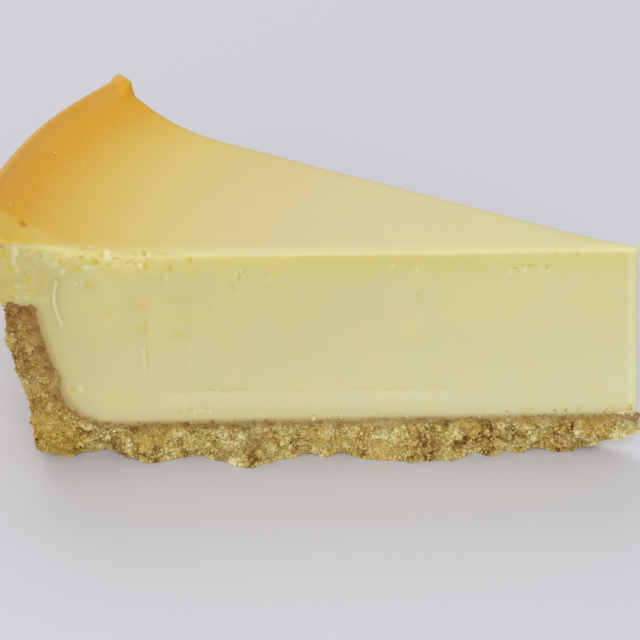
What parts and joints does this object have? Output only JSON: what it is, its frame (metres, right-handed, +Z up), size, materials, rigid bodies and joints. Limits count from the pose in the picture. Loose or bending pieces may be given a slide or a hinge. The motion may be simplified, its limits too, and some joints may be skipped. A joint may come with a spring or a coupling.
{
  "type": "key lime pie slice",
  "caption": "Wedge of baked lime custard pie in a pressed biscuit crumb crust, with a browned top that climbs to a raised rounded rim; it stands on its flat crumb base.",
  "frame": {"origin": "centre of the slice's bounding box, on the plane of the crust's flat underside", "axes": "+X from the rim towards the tip of the slice, +Y across the slice, +Z up"},
  "size_m": [0.1206, 0.0734, 0.0508],
  "materials": {
    "crust": "dry baked biscuit crumbs pressed with butter, rough and grainy",
    "filling": "set pale yellow lime custard with a satin cut face and a golden brown baked top at the rim"
  },
  "bodies": {
    "root": {"crust": "crust", "filling": "filling"}
  },
  "joints": []
}
